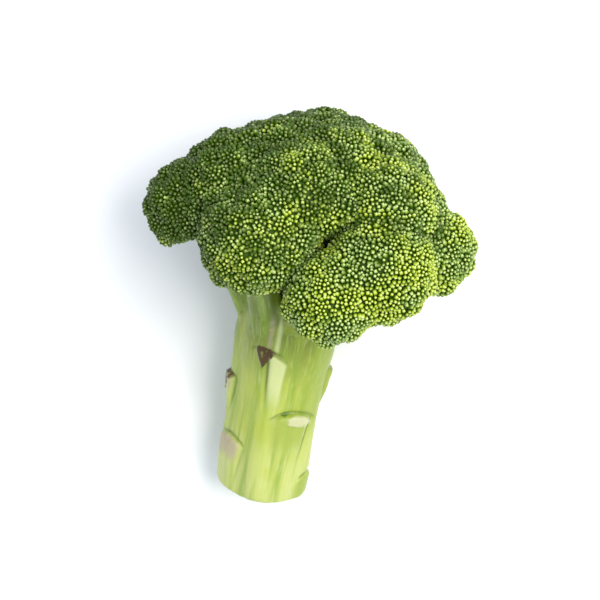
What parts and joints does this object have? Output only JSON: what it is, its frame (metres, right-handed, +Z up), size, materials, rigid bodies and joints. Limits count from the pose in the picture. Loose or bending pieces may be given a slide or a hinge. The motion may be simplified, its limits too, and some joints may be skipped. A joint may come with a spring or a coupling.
{
  "type": "broccoli head",
  "caption": "Head of broccoli on a thick cut stalk, lying on its side, with domed florets of packed buds on branching stems.",
  "frame": {"origin": "on the surface that the head lies on, under the middle of its bounding box", "axes": "+Z up from the surface, +Y along the stalk from its cut end towards the crown as seen from above, +X to the right when looking along +Y"},
  "size_m": [0.1434, 0.1812, 0.1298],
  "materials": {
    "stalk": "smooth, waxy pale green flesh with fine long fibres, paler towards the cut end",
    "branch": "smooth, waxy green stem skin, faintly ribbed along its length",
    "leaf_base": "pale, fibrous leaf stalk remains with a drying, partly brown cut",
    "buds": "tightly packed closed flower buds, satin and slightly waxy, deep green to yellow-green"
  },
  "bodies": {
    "root": {"stalk": "stalk", "rim_1_branch": "branch", "rim_2_branch": "branch", "rim_3_branch": "branch", "rim_4_branch": "branch", "rim_5_branch": "branch", "rim_6_branch": "branch", "rim_7_branch": "branch", "rim_8_branch": "branch", "rim_9_branch": "branch", "ring_1_branch": "branch", "ring_2_branch": "branch", "ring_3_branch": "branch", "ring_4_branch": "branch", "ring_5_branch": "branch", "ring_6_branch": "branch", "ring_7_branch": "branch", "ring_8_branch": "branch", "crest_1_branch": "branch", "crest_2_branch": "branch", "rim_1_buds": "buds", "rim_2_buds": "buds", "rim_3_buds": "buds", "rim_4_buds": "buds", "rim_5_buds": "buds", "rim_6_buds": "buds", "rim_7_buds": "buds", "rim_8_buds": "buds", "rim_9_buds": "buds", "ring_1_buds": "buds", "ring_2_buds": "buds", "ring_3_buds": "buds", "ring_4_buds": "buds", "ring_5_buds": "buds", "ring_6_buds": "buds", "ring_7_buds": "buds", "ring_8_buds": "buds", "crest_1_buds": "buds", "crest_2_buds": "buds", "leaf_base_1": "leaf_base", "leaf_base_2": "leaf_base", "leaf_base_3": "leaf_base", "leaf_base_4": "leaf_base", "leaf_base_5": "leaf_base", "leaf_base_6": "leaf_base", "leaf_base_7": "leaf_base"}
  },
  "joints": []
}
